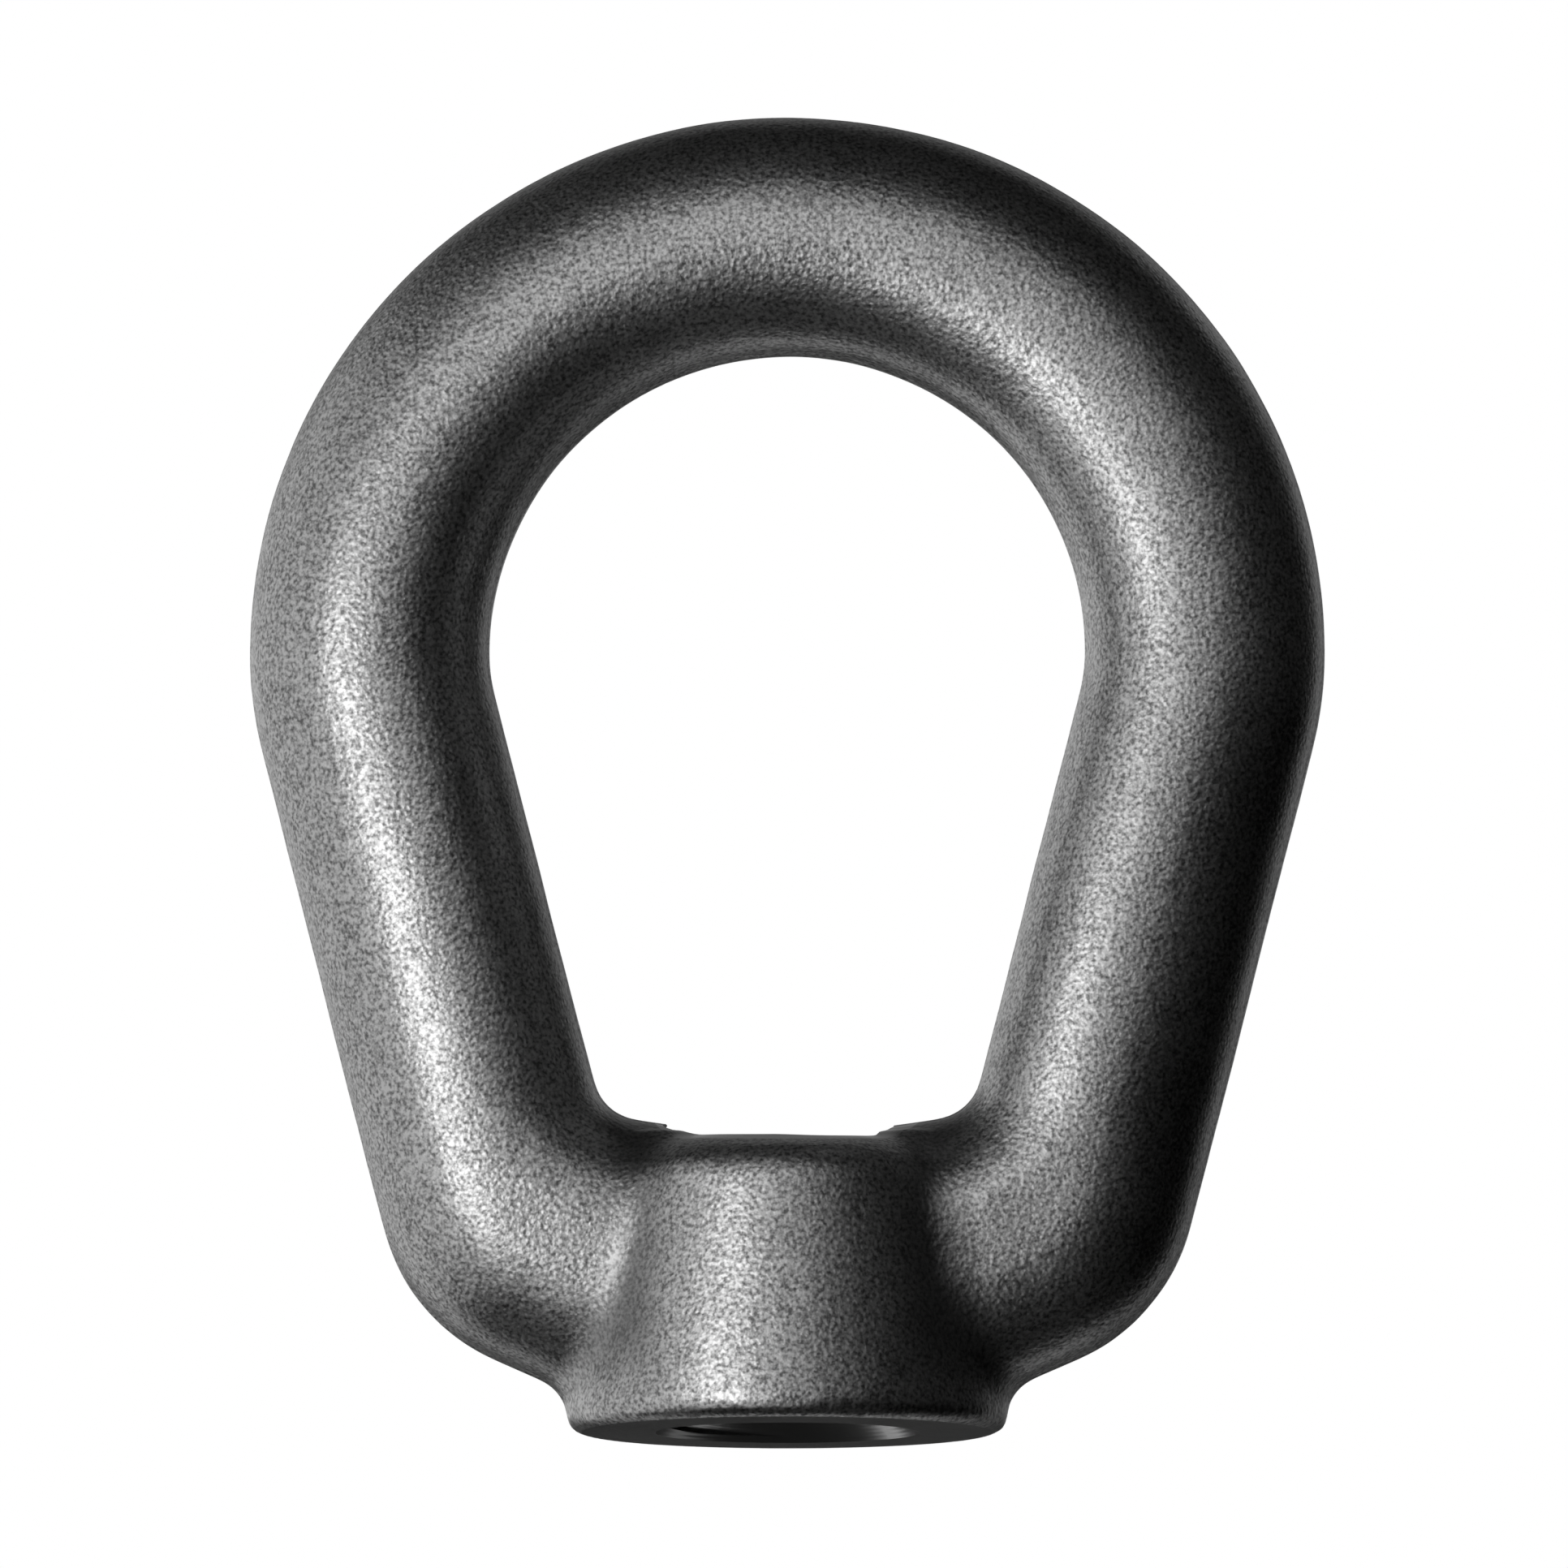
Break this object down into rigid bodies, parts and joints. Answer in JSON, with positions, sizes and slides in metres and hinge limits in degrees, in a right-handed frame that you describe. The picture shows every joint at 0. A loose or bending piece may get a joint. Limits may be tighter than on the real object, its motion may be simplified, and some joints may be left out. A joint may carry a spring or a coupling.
{
  "type": "lifting eye nut",
  "caption": "Forged steel lifting eye nut: a pear-shaped eye on a short tapered boss with a threaded through hole.",
  "frame": {"origin": "centre of the base face, on the thread axis", "axes": "+Z along the thread axis from the base face towards the eye, X across the eye, Y through the eye"},
  "size_m": [0.068, 0.0278, 0.0838],
  "materials": {
    "forged_steel": "shot-blasted forged steel, dark grey, satin"
  },
  "bodies": {
    "root": {"eye_nut": "forged_steel"}
  },
  "joints": []
}
